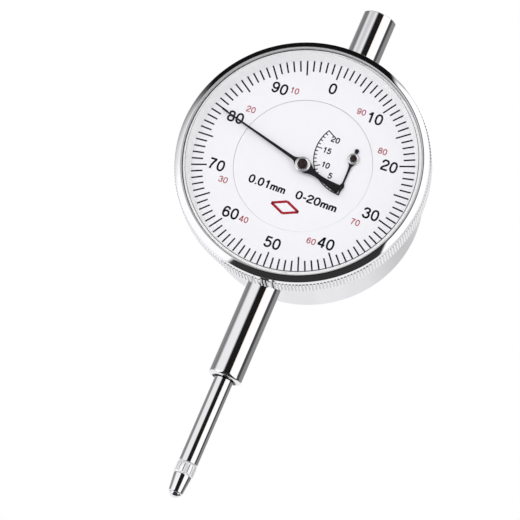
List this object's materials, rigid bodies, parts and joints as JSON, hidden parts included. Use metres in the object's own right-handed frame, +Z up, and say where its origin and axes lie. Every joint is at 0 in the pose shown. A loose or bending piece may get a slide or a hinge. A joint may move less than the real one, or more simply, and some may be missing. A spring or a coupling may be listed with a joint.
{
  "type": "dial indicator",
  "caption": "Plunger dial indicator: spring-loaded spindle, rack and gear train, long hand, small travel counter, turning bezel and lug back.",
  "frame": {"origin": "on the spindle's axis, halfway along the stem's clamping surface", "axes": "+Z up the spindle away from the contact point, -Y the way the dial faces, +X to the right of a person reading the dial"},
  "size_m": [0.0582, 0.0383, 0.1235],
  "materials": {
    "satin_case": "satin chrome-plated brass",
    "chrome": "polished hard chrome",
    "bezel_chrome": "polished chrome with a fine straight knurl",
    "bronze": "turned bronze",
    "brass": "fine-turned brass",
    "steel": "turned steel",
    "spring_steel": "drawn wire",
    "ball_steel": "lapped hardened ball",
    "seal_rubber": "matte",
    "jewel": "polished synthetic ruby",
    "dial_white": "smooth matt white enamel",
    "rehaut_white": "satin white",
    "hand_black": "black lacquered aluminium",
    "hub_metal": "turned aluminium",
    "crystal_clear": "clear polished crystal",
    "gasket_white": "white nylon"
  },
  "bodies": {
    "case": {"case_body": "satin_case", "stem_sleeve": "chrome", "lower_bushes": "bronze", "stem_nut": "steel", "upper_bush": "bronze", "dust_cap": "chrome", "back_cover": "satin_case", "back_gasket": "seal_rubber", "back_cover_screws": "steel", "front_plate": "brass", "front_plate_screws": "steel", "mid_plate": "brass", "plate_pillars": "brass", "plate_screws": "steel", "rear_bridge": "brass", "bridge_pillars": "brass", "bridge_screws": "steel", "pivot_jewels": "jewel", "inner_dial": "dial_white", "spring_post": "steel", "return_spring": "spring_steel", "hairspring": "spring_steel", "hairspring_stud": "steel", "snap_ring": "spring_steel"},
    "plunger": {"spindle": "chrome", "guide_pin": "steel", "spring_arm": "steel", "contact_point": "chrome", "contact_ball": "ball_steel"},
    "first_set": {"first_arbor": "steel", "first_wheel": "brass"},
    "centre_set": {"centre_arbor": "steel", "long_hand": "hand_black", "long_hand_hub": "hub_metal"},
    "take_up_set": {"take_up_arbor": "steel", "take_up_wheel": "brass", "hairspring_collet": "brass"},
    "counter_set": {"counter_arbor": "steel", "counter_wheel": "brass", "small_hand": "hand_black", "small_hand_hub": "hub_metal"},
    "bezel": {"bezel_ring": "bezel_chrome", "rehaut_ring": "rehaut_white", "dial_ring": "dial_white", "crystal": "crystal_clear", "crystal_gasket": "gasket_white"}
  },
  "joints": [
    {"name": "spindle_slide", "type": "slide", "parent": "case", "child": "plunger", "axis": [0, 0, 1], "range_m": [0, 0.0205], "stiffness_N_per_m": 30, "springref_m": -0.03, "deforming": ["return_spring"]},
    {"name": "first_arbor_turn", "type": "hinge", "parent": "case", "child": "first_set", "pos_m": [-0.00314, -0.01, 0.04791], "axis": [0, 1, 0], "range_deg": [-739, 1]},
    {"name": "long_hand_turn", "type": "hinge", "parent": "case", "child": "centre_set", "pos_m": [0, -0.01, 0.03742], "axis": [0, 1, 0], "range_deg": [-1, 7381]},
    {"name": "take_up_turn", "type": "hinge", "parent": "case", "child": "take_up_set", "pos_m": [0.003, -0.01, 0.0269], "axis": [0, 1, 0], "range_deg": [-739, 1]},
    {"name": "small_hand_turn", "type": "hinge", "parent": "case", "child": "counter_set", "pos_m": [0.0102, -0.01, 0.04283], "axis": [0, 1, 0], "range_deg": [-1, 124]},
    {"name": "bezel_turn", "type": "hinge", "parent": "case", "child": "bezel", "pos_m": [0, -0.01, 0.03742], "axis": [0, 1, 0], "continuous": true}
  ],
  "couplings": [
    {"joint": "first_arbor_turn", "follows": "spindle_slide", "rad_per_m": -628.32},
    {"joint": "long_hand_turn", "follows": "spindle_slide", "rad_per_m": 6283.2},
    {"joint": "take_up_turn", "follows": "spindle_slide", "rad_per_m": -628.32},
    {"joint": "small_hand_turn", "follows": "spindle_slide", "rad_per_m": 104.72}
  ]
}
